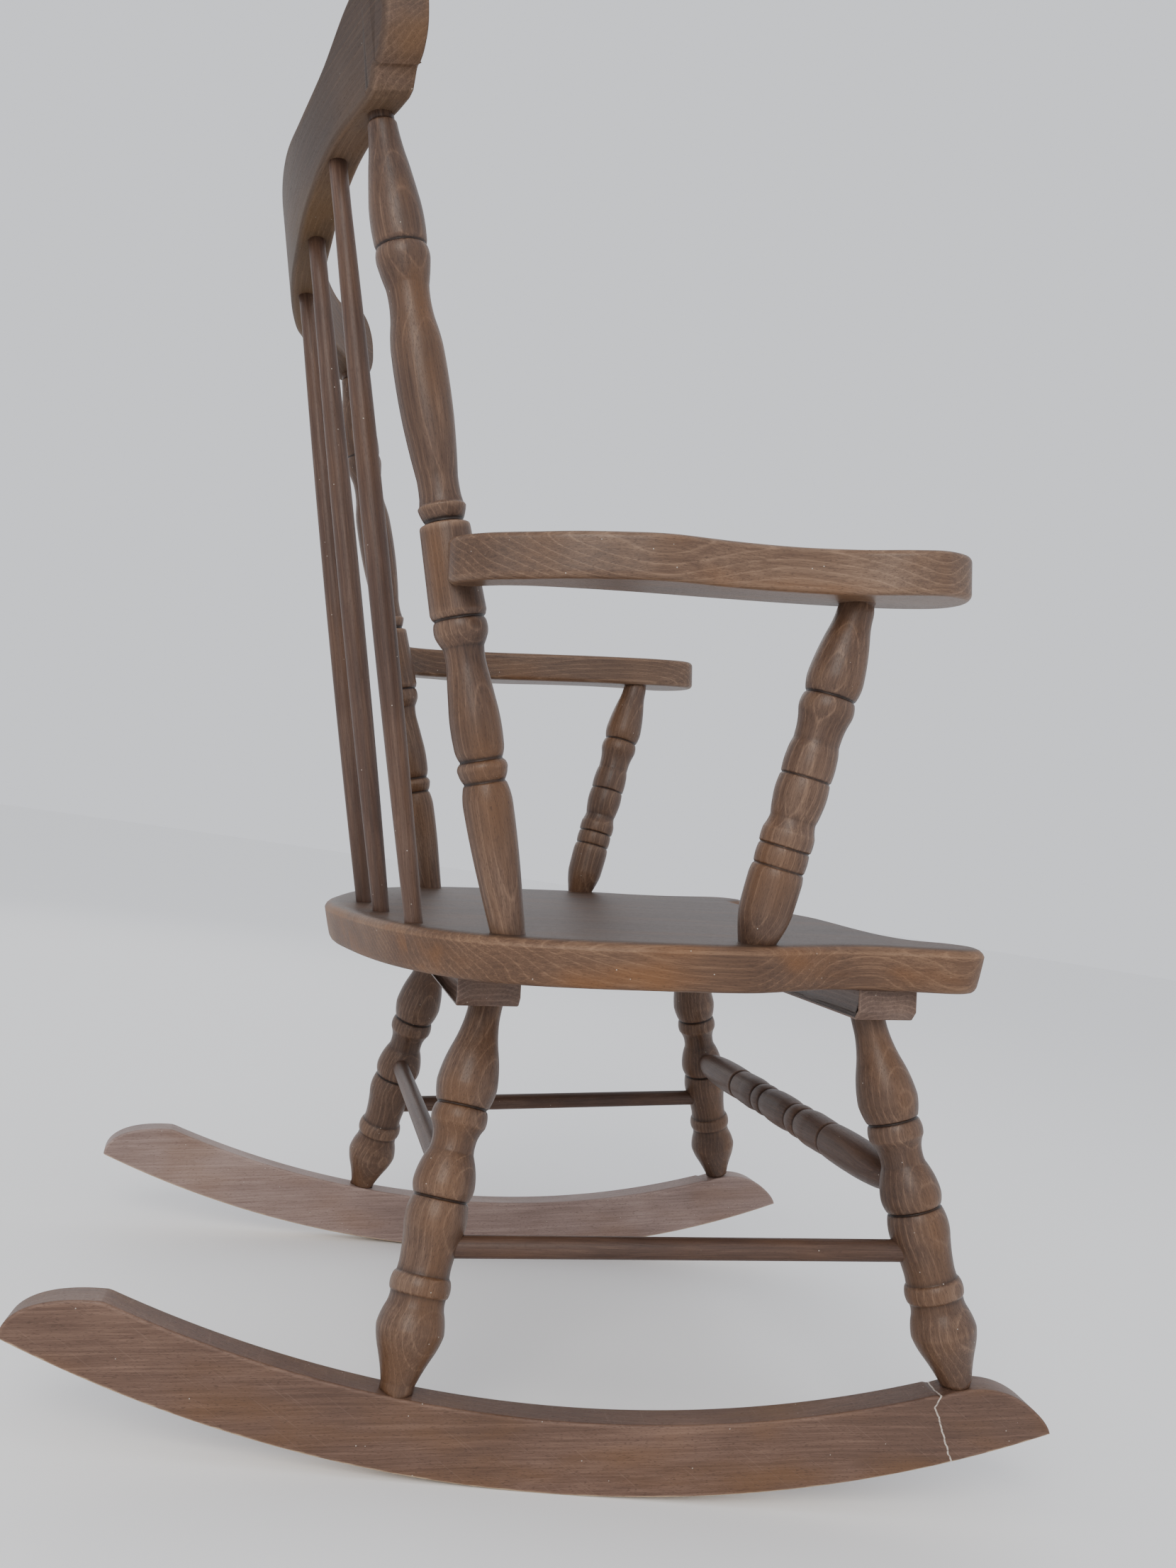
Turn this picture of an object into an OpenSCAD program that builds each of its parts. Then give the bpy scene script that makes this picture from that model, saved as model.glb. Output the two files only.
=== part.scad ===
// Rocking chair with turned legs, posts and arm supports, a shaped plank seat,
// five back spindles under a bowed crest rail, and two sawn rockers.
// X points the way the sitter faces, Y to the sitter's left, Z up.
// The chair is drawn level on its seat first, then set at the lean at which it balances.

/* [Seat] */
// Height of the seat's top above the line of the rear feet
seat_top = 299.5; // [295:0.5:304]
// Thickness of the seat board
seat_t = 31; // [28:0.5:33]
// Width of the two battens under the seat, front to back
batten_w = 43; // [38:1:48]
// Thickness of the battens
batten_t = 22; // [18:1:24]
// Half length of the rear batten
rear_batten_half = 214; // [205:1:218]
// Half length of the front batten
front_batten_half = 249; // [240:1:254]

/* [Legs] */
// Diameter of the leg tenons in the seat
leg_tenon_d = 18; // [14:1:20]
// Depth that a leg goes through its batten and into the seat
leg_tenon_l = 44; // [38:1:46]
// Diameter of the leg tenons in the rockers
foot_tenon_d = 12; // [9:1:13]
// Depth that a leg goes into its rocker
foot_tenon_l = 16; // [12:1:24]

/* [Stretchers] */
// Diameter of the plain side and rear stretchers
stretcher_d = 15; // [13:0.5:17]
// Place of the side stretchers down the legs, as a share of the leg
side_place = 0.66; // [0.64:0.01:0.68]
// Place of the front and rear stretchers down the legs, as a share of the leg
cross_place = 0.49; // [0.47:0.01:0.51]
// Gap left between a stretcher's end and the centre line of the leg
stretcher_stop = 5; // [4:1:8]

/* [Rockers] */
// Radius of the rocking edge
rocker_r = 930; // [925:1:935]
// Height of a rocker between its two edges
rocker_h = 46; // [40:1:50]
// Thickness of a rocker
rocker_t = 24; // [22:1:28]
// Height of the rocking centre above the line of the rear feet
rocking_z = 867; // [865:1:869]

/* [Back] */
// Diameter of a spindle at its ends
spindle_end_d = 12.5; // [11:0.5:13]
// Diameter of a spindle at its middle
spindle_mid_d = 16.5; // [14:0.5:18]
// Thickness of the crest rail
crest_t = 26; // [24:1:30]
// Radius of the crest rail's bow, seen from above
crest_bow = 750; // [740:5:760]
// Lean of the crest rail behind the vertical
crest_lean = 8; // [7.5:0.5:8.5]

/* [Arms] */
// Height of the arms' top above the line of the rear feet, over the arm posts
arm_top = 554; // [552:1:556]
// Thickness of an arm
arm_t = 29; // [26:1:30]
// Slope of an arm down towards the back
arm_slope = 1.75; // [1:0.25:2.5]
// Diameter of the tenon that holds an arm in its back post
arm_tenon_d = 14; // [10:1:16]

/* [Stance] */
// Lean at which the empty chair balances
balance_lean = 5.85; // [4:0.05:8]

/* [Hidden] */
$fn = 96;

walnut = "#7d604f";
dark_walnut = "#6a5142";
rocker_brown = "#84655a";

seat_under = seat_top - seat_t;
batten_under = seat_under - batten_t;

// Centre lines on the left side, each as its two ends
rear_leg = [[55.2, 170, 248], [0, 230, 5.5]];
front_leg = [[320, 217, 248], [377.7, 257.5, 5.5]];
back_post = [[-56, 249, 823.9], [54.2, 249, seat_top]];
arm_post = [[270, 284.4, arm_top - arm_t], [214.6, 270, seat_top]];

// Spindles: place along Y, foot on the seat along X, head under the crest rail
spindles = [
    [-190, -1, [-78.5, -186, 808]],
    [-95, -17, [-91, -95, 795]],
    [0, -25, [-98, 0, 795]],
    [95, -17, [-91, 95, 795]],
    [190, -1, [-78.5, 186, 808]]];

// Where the crest rail's lower edge crosses its middle
crest_foot = [-97.2, 0, 792];
socket_l = 24;
spindle_socket_l = 20;
arm_tenon_l = 14;
arm_post_tenon_d = 16;
arm_post_tenon_l = 18;
stretcher_tenon_d = 15;
post_foot_d = 22.4;
post_head_d = 16.6;
post_head_l = 14;
arm_post_foot_d = 22.8;

// Places of the two battens along X, at the heads of the legs
rear_batten_x = 49.5;
front_batten_x = 321;
batten_corner = 6;

// Turned outlines, from the top down. Each entry is [distance, radius, swell]: the outline
// runs to the next entry, swelling by the third number at the middle of the way.
leg_turning = [
    [-6, 11.9, 0], [12, 11.9, -0.8], [36, 16.2, 0.9], [62, 21.2, 0.5], [75.6, 18.2, 0],
    [76.1, 16.9, 0], [76.9, 16.9, 0], [77.5, 18, 0.9], [88.6, 18.8, 0], [90.6, 17.6, -0.7],
    [101, 15, -0.2], [107, 15.4, 1], [127, 21, 0.7], [137, 18.9, 0], [137.5, 17.6, 0],
    [138.1, 17.6, 0], [138.6, 18.9, 1.6], [160, 19.8, -0.4], [181, 17.4, 0], [186, 17.7, 0],
    [187.2, 19, 1], [198, 19.6, 0], [198.7, 18.6, -0.4], [206.5, 19.2, 0.6], [220.5, 22.6, 0.5],
    [234, 18.4, -0.4], [253, 11.2, 0], [268, 11.2, 0]];

back_post_turning = [
    [-post_head_l, post_head_d / 2, 0], [13.4, post_head_d / 2, 0], [14, 9.5, -0.5], [40, 13, 0.1],
    [65, 16.7, 0.6], [90, 17, 0], [92.4, 16.4, 0], [92.8, 15.6, 0], [93.6, 15.6, 0],
    [94, 16.5, 0.6], [103, 17.2, 0.2], [118.5, 14, -0.8], [141.9, 14.7, 0.3], [158, 17, 0.5],
    [203.5, 16.8, 0.3], [241, 13.4, -0.2], [254, 13.6, 0], [258.6, 14.4, 0], [260, 15.7, 0.3],
    [268.4, 13, 0], [268.9, 12.4, 0], [270.6, 12.4, 0], [271.4, 15.8, 0], [273, 16.4, 0],
    [328, 18.4, 0], [331.4, 17.2, 0], [331.9, 16, 0], [333, 16, 0], [333.4, 16.8, 0.7],
    [343, 17.1, 0.2], [350.5, 13.4, -0.4], [364.2, 13.2, 0.1], [385.6, 15.5, 0.7],
    [414, 16.3, 0.5], [422.6, 14.2, 0], [423.1, 13.8, 0], [424.2, 13.8, 0], [424.6, 14.8, 1],
    [431, 16, 0.4], [437.2, 13.7, 0], [437.6, 13.3, 0], [438.6, 13.3, 0], [439, 14.2, 0.7],
    [455, 16.2, 0.4], [503.5, 13.8, 0], [535.6, post_foot_d / 2, 0],
    [535.6 + socket_l, post_foot_d / 2, 0]];

arm_post_turning = [
    [-6, 11, 0], [0, 11, 0.3], [7, 12.3, -0.4], [21, 14.3, 0.5], [49, 18.6, 0.8], [63.2, 16.9, 0],
    [63.6, 16, 0], [64.6, 16, 0], [65, 17, 0.9], [76.4, 17.8, -0.6], [92, 15.5, -0.1],
    [96, 15.5, 0.3], [105, 17, 0.4], [119, 16.9, 0], [119.4, 15.9, 0], [120.2, 15.9, 0],
    [120.6, 16.8, 0.7], [138, 17, 0.2], [148, 15.3, -0.4], [157, 17.5, 0.3], [166.6, 17.5, 0],
    [167, 16.3, 0], [167.9, 16.3, 0], [168.3, 17.1, 0.5], [180.6, 17.1, 0], [181, 16.3, 0],
    [181.9, 16.3, 0], [182.3, 17.2, 0.3], [190.5, 18.1, 0.1], [211.3, 17.6, 0.3], [225.4, 14.4, 0],
    [234.8, arm_post_foot_d / 2, 0], [234.8 + socket_l, arm_post_foot_d / 2, 0]];

// The front stretcher's outline, from its middle to its left end
front_turning = [
    [0, 14.6, 0], [14, 14.4, 0.1], [29, 13, 0], [30, 12.2, 0], [32, 12.2, 0],
    [33, 13.2, 0.9], [49, 13.2, 0], [50, 12.2, 0], [52, 12.2, 0],
    [53, 13.2, 0.8], [78, 14.6, 0.2], [103, 13.9, 0], [104, 12.9, 0], [106.5, 12.9, 0],
    [107.5, 14.3, 0.3], [150, 14.7, 0.5], [194, 12.6, 0.4], [214, 8.6, 0]];

// Half of each flat outline, from the middle of the back or of the lower edge round
seat_half = [
    [-56, 0], [-54.5, 36], [-48, 76], [-37, 128], [-23, 175], [-6, 212], [14, 242],
    [39, 266], [68, 279], [102, 287], [140, 291.5], [178, 294.5], [212, 293],
    [242, 281], [272, 268], [304, 264], [334, 271], [362, 277], [381, 268],
    [389, 244], [382, 222], [364, 203], [358, 166], [361, 112], [367, 55], [371, 0]];
crest_lower_half = [
    [0, 0], [45, 0.6], [85, 2.3], [115, 7.4], [150, 12.4], [186, 17.7], [220, 19.3],
    [252, 17.4], [268, 17.6]];
crest_ear = [[274, 20], [281, 31]];
crest_upper_half = [
    [0, 84.8], [75, 81.2], [140, 72.7], [200, 73.5], [248, 87], [274, 93], [291, 87], [300, 71],
    [298, 50], [291, 37], [284, 31]];

// Outline of the left arm, from inside its back post along the outer side and back
arm_outline = [
    [4.6, 262], [0.5, 271], [3, 281], [11, 290], [24, 299], [48, 309], [72, 318.5], [100, 325],
    [130, 328], [176, 319], [217, 315.5], [256, 320], [288, 330], [310, 333], [330, 322],
    [337, 300], [327, 281], [298, 271], [258, 268], [214, 269], [165, 273], [112, 278], [62, 278],
    [38, 274], [22, 266], [10, 257]];

// Ends of a rocker, along the board and up, as cubic curves that meet its two edges
rocker_tail = [[-182.5, 65.5], [-216, 69], [-241, 62], [-242, 43]];
rocker_nose = [[363, -1.5], [399, 8.5], [419.5, -1], [433.5, -14]];
rocker_tip = [[433.5, -14], [446, -25], [449, -37], [430, -36]];

splay = atan2(front_leg[1][1] - rear_leg[1][1], front_leg[1][0] - rear_leg[1][0]);
rocking_s = 191.2;
rocking_x = rocking_s * cos(splay);

function lerp(a, b, t) = a + (b - a) * t;
function length(line) = norm(line[1] - line[0]);
function other_side(p) = [p[0], -p[1], p[2]];

// One stretch of a turned outline, without its first point
function stretch(a, b) =
    let (n = a[2] == 0 ? 1 : 6)
    [for (i = [1:n]) let (s = i / n)
        [lerp(a[1], b[1], s) + 4 * a[2] * s * (1 - s), lerp(a[0], b[0], s)]];

// Smooth curve through a row of points, n steps from each to the next
function curve(p, n) = concat(
    [for (i = [0:len(p) - 2])
        let (a = p[max(i - 1, 0)], b = p[i], c = p[i + 1], d = p[min(i + 2, len(p) - 1)])
        each [for (j = [0:n - 1]) let (t = j / n)
            0.5 * (2 * b + (c - a) * t + (2 * a - 5 * b + 4 * c - d) * t ^ 2
                + (3 * b - 3 * c + d - a) * t ^ 3)]],
    [p[len(p) - 1]]);

// Smooth closed curve through a ring of points
function ring(p, n) =
    let (m = len(p))
    [for (i = [0:m - 1])
        let (a = p[(i + m - 1) % m], b = p[i], c = p[(i + 1) % m], d = p[(i + 2) % m])
        each [for (j = [0:n - 1]) let (t = j / n)
            0.5 * (2 * b + (c - a) * t + (2 * a - 5 * b + 4 * c - d) * t ^ 2
                + (3 * b - 3 * c + d - a) * t ^ 3)]];

// Points of a cubic curve from its two ends and its two handles
function cubic(p, n) =
    [for (i = [0:n]) let (t = i / n, u = 1 - t)
        p[0] * u ^ 3 + 3 * p[1] * u ^ 2 * t + 3 * p[2] * u * t ^ 2 + p[3] * t ^ 3];

function reversed(p) = [for (i = [len(p) - 1:-1:0]) p[i]];
function flipped_x(p) = [for (q = p) [-q[0], q[1]]];
function flipped_y(p) = [for (q = p) [q[0], -q[1]]];
function but_first(p) = [for (i = [1:len(p) - 1]) p[i]];
function but_ends(p) = [for (i = [1:len(p) - 2]) p[i]];

// Where a point of a rocker's outline lands along X once the chair leans
function leaned_x(p) =
    (p[0] * cos(splay) - rocking_x) * cos(balance_lean) - (p[1] - rocking_z) * sin(balance_lean);
reach_back = min([for (p = cubic(rocker_tail, 24)) leaned_x(p)]);
reach_front = max([for (p = cubic(rocker_tip, 24)) leaned_x(p)]);

// Height of the rocking centre over the floor: the rockers' lower arrises touch it
axis_slope = sin(splay) * sin(balance_lean);
rest_z = rocker_r * sqrt(1 - axis_slope ^ 2) + rocker_t / 2 * axis_slope;

// Puts a piece drawn level into the balanced chair
module placed() {
    translate([-(reach_back + reach_front) / 2, 0, rest_z])
        rotate([0, -balance_lean, 0])
            translate([-rocking_x, 0, -rocking_z])
                children();
}

// Turns local Z onto a centre line, with the origin at its first end
module along(line) {
    d = line[1] - line[0];
    translate(line[0])
        rotate([0, acos(d[2] / norm(d)), atan2(d[1], d[0])])
            children();
}

// Straight round pin on a centre line, between two distances from its first end
module pin(line, d, from, to) {
    along(line)
        translate([0, 0, from])
            cylinder(h = to - from, d = d);
}

module turned(outline) {
    points = [for (i = [0:len(outline) - 2]) each stretch(outline[i], outline[i + 1])];
    rotate_extrude()
        polygon(concat(
            [[0, outline[0][0]], [outline[0][1], outline[0][0]]],
            points,
            [[0, outline[len(outline) - 1][0]]]));
}

module right_side() {
    mirror([0, 1, 0])
        children();
}

// Joints: each is the solid that one piece keeps and its neighbour is bored for
module leg_head(line) {
    pin(line, leg_tenon_d, -leg_tenon_l, 4);
}

module leg_foot(line) {
    pin(line, foot_tenon_d, length(line) - 12, length(line) + foot_tenon_l);
}

module spindle_ends(s) {
    foot = [s[1], s[0], seat_top];
    line = [foot, s[2]];
    pin(line, spindle_end_d, -spindle_socket_l, 4);
    pin(line, spindle_end_d, length(line) - 30, length(line) + spindle_socket_l);
}

module post_foot() {
    pin(back_post, post_foot_d, length(back_post) - 0.01, length(back_post) + socket_l);
}

module post_head() {
    pin(back_post, post_head_d, -post_head_l, 20);
}

module arm_post_foot() {
    pin(arm_post, arm_post_foot_d, length(arm_post) - 0.01, length(arm_post) + socket_l);
}

module arm_post_head() {
    pin(arm_post, arm_post_tenon_d, -arm_post_tenon_l, 6);
}

module arm_tail() {
    height = arm_top - arm_t / 2 - (arm_post[0][0] - 5) * tan(arm_slope);
    post_x = lerp(back_post[0][0], back_post[1][0],
        (back_post[0][2] - height) / (back_post[0][2] - back_post[1][2]));
    middle = [post_x, back_post[0][1], height];
    pin([middle, middle + [13, 31, 0]], arm_tenon_d, 17 - arm_tenon_l, 33);
}

function leg_point(leg, share) = lerp(leg[0], leg[1], share);
side_line = [leg_point(rear_leg, side_place), leg_point(front_leg, side_place)];
rear_cross = leg_point(rear_leg, cross_place);
front_cross = leg_point(front_leg, cross_place);
rear_line = [other_side(rear_cross), rear_cross];
front_line = [other_side(front_cross), front_cross];

module stretcher_pin(line, d) {
    pin(line, d, stretcher_stop, length(line) - stretcher_stop);
}

// Seat
module seat_outline() {
    points = ring(concat(seat_half, reversed(flipped_y(but_ends(seat_half)))), 4);
    polygon(points);
}

module seat() {
    color(walnut)
        placed()
            difference() {
                translate([0, 0, seat_under])
                    linear_extrude(height = seat_t)
                        seat_outline();
                both_sides() {
                    leg_head(rear_leg);
                    leg_head(front_leg);
                    post_foot();
                    arm_post_foot();
                }
                for (s = spindles)
                    spindle_ends(s);
            }
}

module both_sides() {
    children();
    right_side()
        children();
}

// Battens
module batten(x, half) {
    r = batten_corner;
    translate([x - batten_w / 2, 0, batten_under])
        rotate([90, 0, 90])
            linear_extrude(height = batten_w)
                polygon([
                    [-half, batten_t], [-half, r], [-half + r, 0],
                    [half - r, 0], [half, r], [half, batten_t]]);
}

module seat_batten_rear() {
    color(dark_walnut)
        placed()
            difference() {
                batten(rear_batten_x, rear_batten_half);
                both_sides()
                    leg_head(rear_leg);
            }
}

module seat_batten_front() {
    color(dark_walnut)
        placed()
            difference() {
                batten(front_batten_x, front_batten_half);
                both_sides()
                    leg_head(front_leg);
            }
}

// Rockers
module in_rocker() {
    translate(rear_leg[1] - [0, 0, rear_leg[1][2]])
        rotate([0, 0, splay])
            children();
}

module rocking_round(r) {
    in_rocker()
        translate([rocking_s, 0, rocking_z])
            rotate([90, 0, 0])
                cylinder(h = 200, r = r, center = true, $fn = 720);
}

module rocker_blank() {
    edge = 120;
    outline = concat(
        cubic(rocker_tail, 12), [[-242, -edge], [430, -edge]],
        reversed(cubic(rocker_tip, 10)), but_first(reversed(cubic(rocker_nose, 10))),
        [[363, edge], [-182.5, edge]]);
    in_rocker()
        rotate([90, 0, 0])
            linear_extrude(height = rocker_t, center = true)
                polygon(outline);
}

module rocker() {
    difference() {
        intersection() {
            rocker_blank();
            rocking_round(rocker_r);
        }
        rocking_round(rocker_r - rocker_h);
        leg_foot(rear_leg);
        leg_foot(front_leg);
    }
}

module rocker_left() {
    color(rocker_brown)
        placed()
            rocker();
}

module rocker_right() {
    color(rocker_brown)
        placed()
            right_side()
                rocker();
}

// Legs
module leg(line, cross_line, cross_d) {
    difference() {
        union() {
            intersection() {
                along(line)
                    turned(leg_turning);
                rocking_round(rocker_r - rocker_h);
                translate([-500, -500, -100])
                    cube([1500, 1500, batten_under + 100]);
            }
            leg_head(line);
            leg_foot(line);
        }
        stretcher_pin(side_line, stretcher_d);
        stretcher_pin(cross_line, cross_d);
    }
}

module leg_rear_left() {
    color(walnut)
        placed()
            leg(rear_leg, rear_line, stretcher_d);
}

module leg_rear_right() {
    color(walnut)
        placed()
            right_side()
                leg(rear_leg, rear_line, stretcher_d);
}

module leg_front_left() {
    color(walnut)
        placed()
            leg(front_leg, front_line, stretcher_tenon_d);
}

module leg_front_right() {
    color(walnut)
        placed()
            right_side()
                leg(front_leg, front_line, stretcher_tenon_d);
}

// Stretchers
module stretcher_rear() {
    color(dark_walnut)
        placed()
            stretcher_pin(rear_line, stretcher_d);
}

module stretcher_front() {
    color(dark_walnut)
        placed()
            union() {
                along([[front_cross[0], 0, front_cross[2]], front_cross])
                    turned(front_turning);
                along([[front_cross[0], 0, front_cross[2]], other_side(front_cross)])
                    turned(front_turning);
                stretcher_pin(front_line, stretcher_tenon_d);
            }
}

module stretcher_side_left() {
    color(dark_walnut)
        placed()
            stretcher_pin(side_line, stretcher_d);
}

module stretcher_side_right() {
    color(dark_walnut)
        placed()
            right_side()
                stretcher_pin(side_line, stretcher_d);
}

// Back
module back_post_blank() {
    difference() {
        along(back_post)
            turned(back_post_turning);
        arm_tail();
    }
}

module back_post_left() {
    color(walnut)
        placed()
            back_post_blank();
}

module back_post_right() {
    color(walnut)
        placed()
            right_side()
                back_post_blank();
}

module spindle(s) {
    foot = [s[1], s[0], seat_top];
    line = [foot, s[2]];
    swell = (spindle_mid_d - spindle_end_d) / 2;
    color(dark_walnut)
        placed()
            along(line)
                turned([
                    [-spindle_socket_l, spindle_end_d / 2, 0],
                    [4, spindle_end_d / 2, swell],
                    [length(line) - 30, spindle_end_d / 2, 0],
                    [length(line) + spindle_socket_l, spindle_end_d / 2, 0]]);
}

module in_crest() {
    translate(crest_foot)
        rotate([0, -crest_lean, 0])
            children();
}

module crest_round(r) {
    translate([crest_bow, 0, -50])
        cylinder(h = 250, r = r, $fn = 720);
}

module crest_outline() {
    lower = curve(concat(reversed(flipped_x(but_first(crest_lower_half))), crest_lower_half), 3);
    upper = curve(concat(reversed(crest_upper_half), flipped_x(but_first(crest_upper_half))), 4);
    polygon(concat(lower, crest_ear, upper, flipped_x(reversed(crest_ear))));
}

module crest_rail() {
    color(walnut)
        placed()
            difference() {
                in_crest()
                    intersection() {
                        difference() {
                            crest_round(crest_bow + crest_t / 2);
                            crest_round(crest_bow - crest_t / 2);
                        }
                        translate([-20, 0, 0])
                            rotate([90, 0, 90])
                                linear_extrude(height = 120)
                                    crest_outline();
                    }
                both_sides()
                    post_head();
                for (s = spindles)
                    spindle_ends(s);
            }
}

// Arms
module in_arm() {
    pivot = [arm_post[0][0], 0, arm_top];
    translate(pivot)
        rotate([0, -arm_slope, 0])
            translate(-pivot)
                children();
}

module arm_post_blank() {
    union() {
        intersection() {
            along(arm_post)
                turned(arm_post_turning);
            in_arm()
                translate([-500, -500, 0])
                    cube([1500, 1500, arm_top - arm_t]);
        }
        arm_post_head();
    }
}

module arm_post_left() {
    color(walnut)
        placed()
            arm_post_blank();
}

module arm_post_right() {
    color(walnut)
        placed()
            right_side()
                arm_post_blank();
}

module arm() {
    difference() {
        union() {
            difference() {
                in_arm()
                    translate([0, 0, arm_top - arm_t])
                        linear_extrude(height = arm_t)
                            polygon(ring(arm_outline, 4));
                along(back_post)
                    turned(back_post_turning);
            }
            arm_tail();
        }
        arm_post_head();
    }
}

module arm_left() {
    color(walnut)
        placed()
            arm();
}

module arm_right() {
    color(walnut)
        placed()
            right_side()
                arm();
}

seat();
seat_batten_rear();
seat_batten_front();
leg_rear_right();
leg_rear_left();
leg_front_right();
leg_front_left();
rocker_right();
rocker_left();
stretcher_rear();
stretcher_front();
stretcher_side_right();
stretcher_side_left();
back_post_right();
back_post_left();
spindle(spindles[0]);  // spindle_1
spindle(spindles[1]);  // spindle_2
spindle(spindles[2]);  // spindle_3
spindle(spindles[3]);  // spindle_4
spindle(spindles[4]);  // spindle_5
crest_rail();
arm_post_right();
arm_post_left();
arm_right();
arm_left();
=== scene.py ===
import math
import random

import bmesh
import bpy
import numpy as np
from mathutils import Matrix, Vector


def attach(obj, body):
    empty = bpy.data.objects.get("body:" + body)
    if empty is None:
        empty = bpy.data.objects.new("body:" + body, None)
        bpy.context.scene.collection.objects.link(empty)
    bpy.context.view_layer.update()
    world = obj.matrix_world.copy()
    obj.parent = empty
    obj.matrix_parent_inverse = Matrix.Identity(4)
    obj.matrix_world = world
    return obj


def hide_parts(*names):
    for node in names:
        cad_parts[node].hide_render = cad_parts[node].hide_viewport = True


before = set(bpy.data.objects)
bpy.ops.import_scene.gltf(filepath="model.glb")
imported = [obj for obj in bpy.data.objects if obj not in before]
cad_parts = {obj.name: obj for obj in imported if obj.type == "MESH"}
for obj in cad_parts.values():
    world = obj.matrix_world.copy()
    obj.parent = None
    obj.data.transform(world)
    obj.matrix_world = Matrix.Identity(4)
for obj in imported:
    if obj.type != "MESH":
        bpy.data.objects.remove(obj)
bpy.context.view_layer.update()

# The chair is drawn level, in millimetres: the rear feet stand on x = 0 and z = 0.
# placed() then leans it about the centre of the rocking arc and turns it into metres.
LEAN = math.radians(5.85)
# The front feet are wider apart than the rear ones, so the rockers splay
FOOT_Y = 230.0
SPLAY = math.atan2(27.5, 377.7)
ROCKING_S = 191.2
ROCKING_X = ROCKING_S * math.cos(SPLAY)
ROCKING_Z = 867.0
ROCKER_R = 930.0
ROCKER_H = 46.0
ROCKER_T = 24.0
SHIFT_X = 2.026
REST_Z = 930.063

SEAT_TOP = 299.5
SEAT_T = 31.0
BATTEN_W = 43.0
BATTEN_T = 22.0
BATTEN_CORNER = 6
# Place along X and half length
REAR_BATTEN = (49.5, 214)
FRONT_BATTEN = (321, 249)
ARM_TOP = 554.0
ARM_T = 29.0
ARM_SLOPE = math.radians(1.75)
ARM_PIVOT_X = 270.0
# The arms sit in by a hair, so that their smooth outline stays inside the CAD's chords
ARM_TRIM = 0.03
CREST_T = 26.0
CREST_BOW = 750.0
CREST_LEAN = math.radians(8)
CREST_FOOT = (-97.2, 0.0, 792.0)
STRETCHER_R = 7.5
SPINDLE_END_R = 6.25
SPINDLE_SWELL = 2.0
SPINDLE_SOCKET = 18

# Rounding of the long edges
ROCKER_EDGE = 1.5
BATTEN_EDGE = 1.4
CREST_EDGE = 3.6
ARM_EDGE = 4.4

# Turned profiles: sampling step, softening of corners, reach and depth of the lighter edges (wear and
# a painted highlight) and of the painted shade in the grooves
PROFILE_STEP = 0.2
CORNER_BLUR = 0.42
WEAR_AND_LIGHT_REACH = 2.4
WEAR_AND_LIGHT_DEPTH = 0.9

# Centre lines on the left side, each as its two ends
REAR_LEG = ((55.2, 170, 248), (0, 230, 5.5))
FRONT_LEG = ((320, 217, 248), (377.7, 257.5, 5.5))
BACK_POST = ((-56, 249, 823.9), (54.2, 249, 299.5))
ARM_POST = ((270, 284.4, 525), (214.6, 270, 299.5))
SIDE_PLACE = 0.66
CROSS_PLACE = 0.49

# Spindles: place along Y, foot on the seat along X, head under the crest rail
SPINDLES = (
    (-190, -1, (-78.5, -186, 808)),
    (-95, -17, (-91, -95, 795)),
    (0, -25, (-98, 0, 795)),
    (95, -17, (-91, 95, 795)),
    (190, -1, (-78.5, 186, 808)))

# Turned outlines from the top down: distance, radius, swell on the way to the next entry
LEG_TURNING = (
    (-6, 11.9, 0), (12, 11.9, -0.8), (36, 16.2, 0.9), (62, 21.2, 0.5), (75.6, 18.2, 0),
    (76.1, 16.9, 0), (76.9, 16.9, 0), (77.5, 18, 0.9), (88.6, 18.8, 0), (90.6, 17.6, -0.7),
    (101, 15, -0.2), (107, 15.4, 1), (127, 21, 0.7), (137, 18.9, 0), (137.5, 17.6, 0),
    (138.1, 17.6, 0), (138.6, 18.9, 1.6), (160, 19.8, -0.4), (181, 17.4, 0), (186, 17.7, 0),
    (187.2, 19, 1), (198, 19.6, 0), (198.7, 18.6, -0.4), (206.5, 19.2, 0.6), (220.5, 22.6, 0.5),
    (234, 18.4, -0.4), (253, 11.2, 0), (268, 11.2, 0))
BACK_POST_TURNING = (
    (-14, 8.3, 0), (13.4, 8.3, 0), (14, 9.5, -0.5), (40, 13, 0.1), (65, 16.7, 0.6), (90, 17, 0),
    (92.4, 16.4, 0), (92.8, 15.6, 0), (93.6, 15.6, 0), (94, 16.5, 0.6), (103, 17.2, 0.2),
    (118.5, 14, -0.8), (141.9, 14.7, 0.3), (158, 17, 0.5), (203.5, 16.8, 0.3), (241, 13.4, -0.2),
    (254, 13.6, 0), (258.6, 14.4, 0), (260, 15.7, 0.3), (268.4, 13, 0), (268.9, 12.4, 0),
    (270.6, 12.4, 0), (271.4, 15.8, 0), (273, 16.4, 0), (328, 18.4, 0), (331.4, 17.2, 0),
    (331.9, 16, 0), (333, 16, 0), (333.4, 16.8, 0.7), (343, 17.1, 0.2), (350.5, 13.4, -0.4),
    (364.2, 13.2, 0.1), (385.6, 15.5, 0.7), (414, 16.3, 0.5), (422.6, 14.2, 0), (423.1, 13.8, 0),
    (424.2, 13.8, 0), (424.6, 14.8, 1), (431, 16, 0.4), (437.2, 13.7, 0), (437.6, 13.3, 0),
    (438.6, 13.3, 0), (439, 14.2, 0.7), (455, 16.2, 0.4), (503.5, 13.8, 0), (535.6, 11.2, 0),
    (552, 11.2, 0))
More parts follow.
